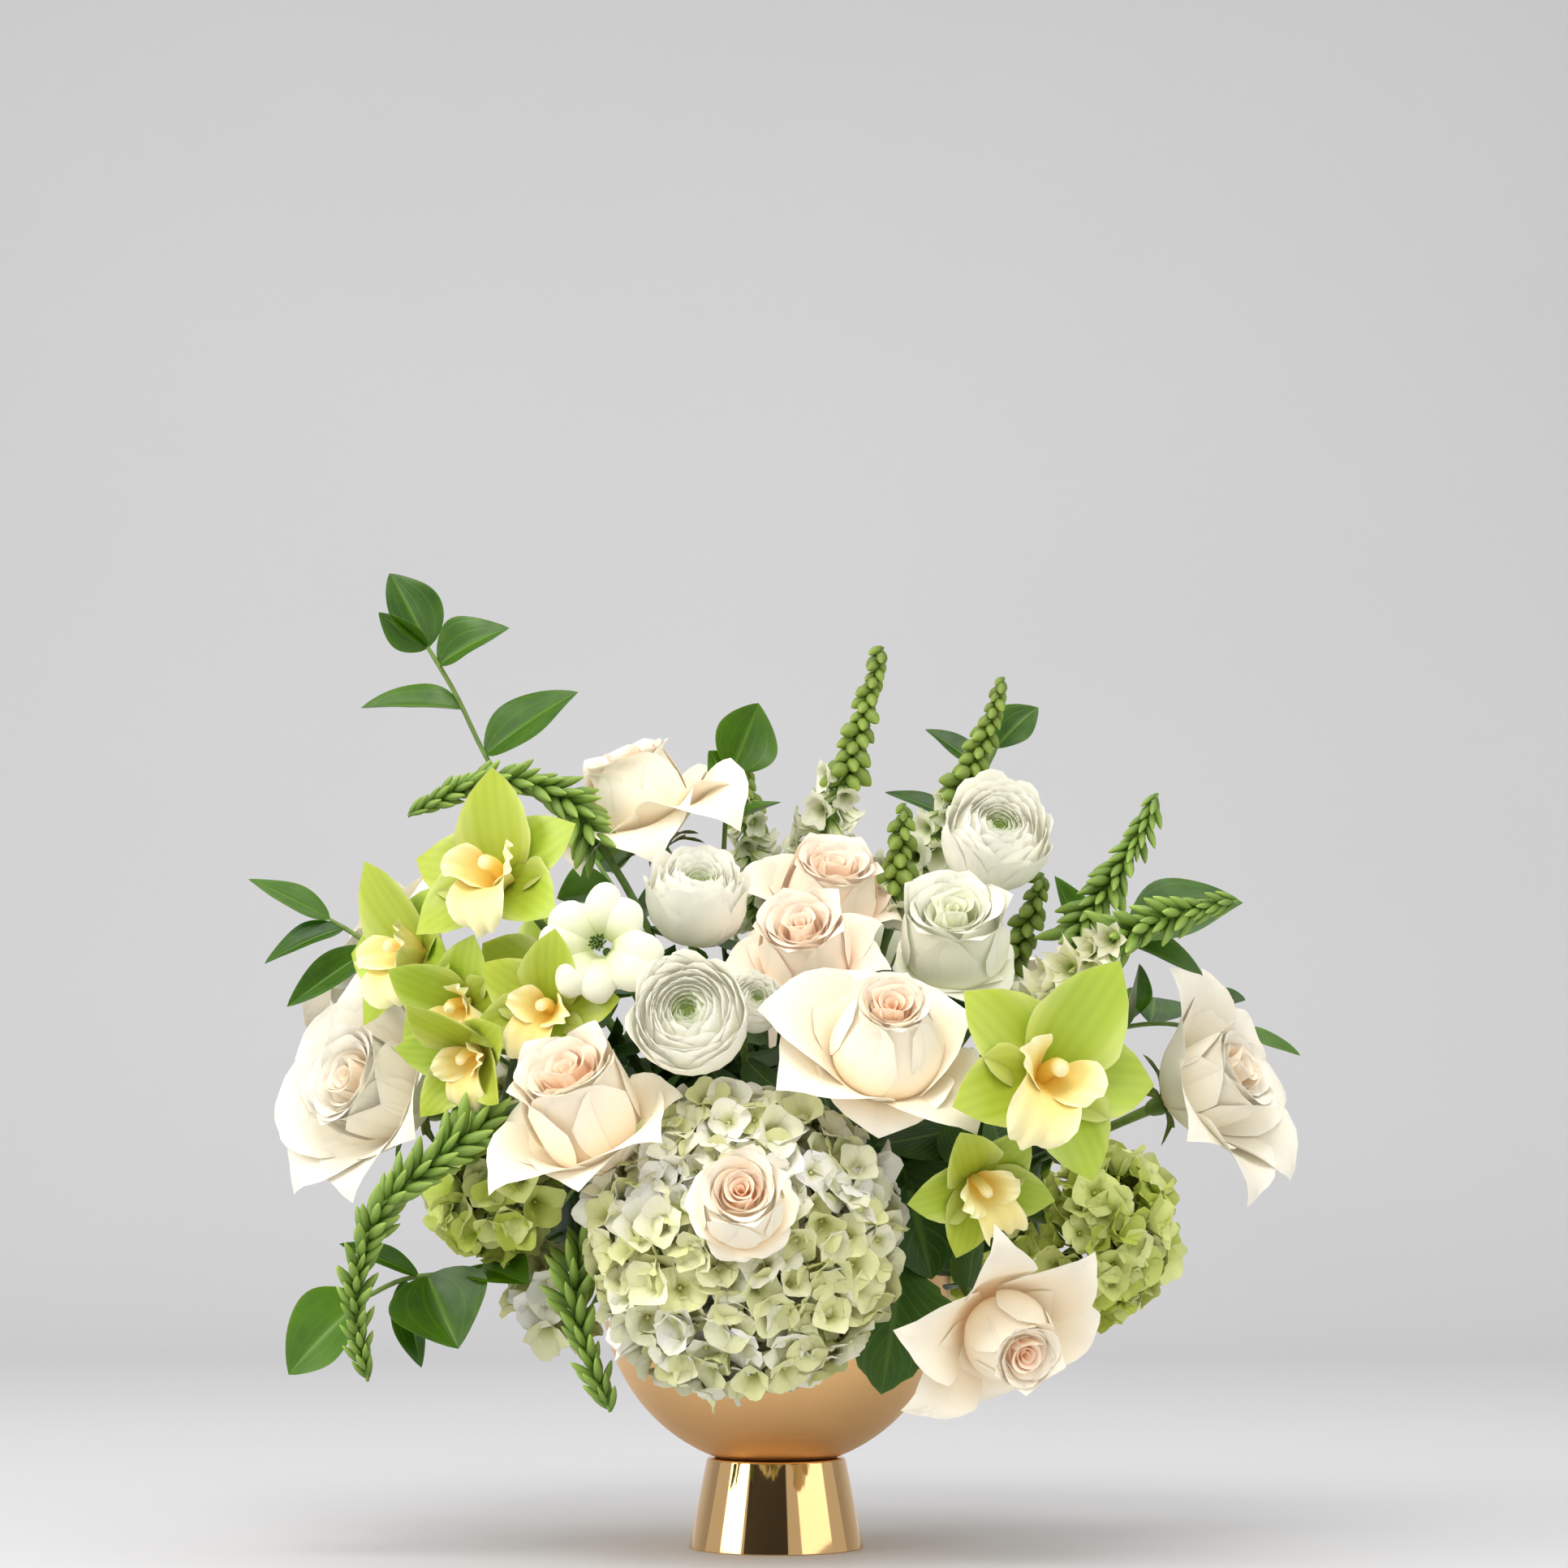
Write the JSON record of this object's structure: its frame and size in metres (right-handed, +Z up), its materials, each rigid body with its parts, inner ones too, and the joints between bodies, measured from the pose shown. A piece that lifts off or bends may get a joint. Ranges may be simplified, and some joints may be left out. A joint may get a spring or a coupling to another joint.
{
  "type": "floral table centerpiece",
  "caption": "Round metal bowl on a conical foot, filled with foam and a wide dome of roses, green orchids, hydrangeas, flower spikes and leafy branches.",
  "frame": {"origin": "centre of the foot's flat underside, on the table top", "axes": "+Z up; the front of the arrangement faces -Y; +X to the right as seen from the front, along its widest spread"},
  "size_m": [0.5532, 0.4173, 0.5081],
  "materials": {
    "bowl_metal": "satin",
    "foot_metal": "polished",
    "base_plate": "satin",
    "fastener": "satin",
    "washer": "matte",
    "foam": "matte",
    "rose_petal": "satin",
    "white_petal": "satin",
    "orchid_petal": "satin",
    "hydrangea_petal": "matte",
    "flower_spike": "satin",
    "leaf": "satin"
  },
  "bodies": {
    "root": {"bowl": "bowl_metal", "bowl_nut": "fastener", "bowl_screw": "fastener", "butterfly_bloom": "white_petal", "floral_foam": "foam", "foot": "foot_metal", "foot_base_plate": "base_plate", "hydrangea_front": "hydrangea_petal", "hydrangea_leaf_at_bowl": "leaf", "hydrangea_leaf_middle": "leaf", "hydrangea_left": "hydrangea_petal", "hydrangea_left_low": "hydrangea_petal", "hydrangea_rear_left": "hydrangea_petal", "hydrangea_rear_right": "hydrangea_petal", "hydrangea_right": "hydrangea_petal", "lisianthus_right": "white_petal", "orchid_left_low": "orchid_petal", "orchid_left_middle": "orchid_petal", "orchid_left_outer": "orchid_petal", "orchid_left_top": "orchid_petal", "orchid_left_behind": "orchid_petal", "orchid_rear": "orchid_petal", "orchid_right": "orchid_petal", "orchid_right_low": "orchid_petal", "ornithogalum_arching": "flower_spike", "ornithogalum_at_bowl": "flower_spike", "ornithogalum_drooping": "flower_spike", "ornithogalum_right": "flower_spike", "ornithogalum_upright": "flower_spike", "ranunculus_front": "white_petal", "ranunculus_rear": "white_petal", "ranunculus_side": "white_petal", "ranunculus_top": "white_petal", "rose_blush_back": "rose_petal", "rose_blush_middle": "rose_petal", "rose_crown": "rose_petal", "rose_far_left": "rose_petal", "rose_far_right": "rose_petal", "rose_front_large": "rose_petal", "rose_in_hydrangea": "rose_petal", "rose_low_right": "rose_petal", "rose_middle_left": "rose_petal", "rose_rear_left": "rose_petal", "rose_rear_middle": "rose_petal", "rose_rear_right": "rose_petal", "ruscus_far_left": "leaf", "ruscus_low_left": "leaf", "ruscus_rear_left": "leaf", "ruscus_rear_right": "leaf", "ruscus_right": "leaf", "ruscus_tall_left": "leaf", "ruscus_top_middle": "leaf", "ruscus_top_right": "leaf", "sealing_washer": "washer", "small_white_bloom": "white_petal", "snapdragon_low": "flower_spike", "snapdragon_rear": "flower_spike", "snapdragon_right": "flower_spike", "snapdragon_short": "flower_spike", "snapdragon_tall": "flower_spike"}
  },
  "joints": []
}
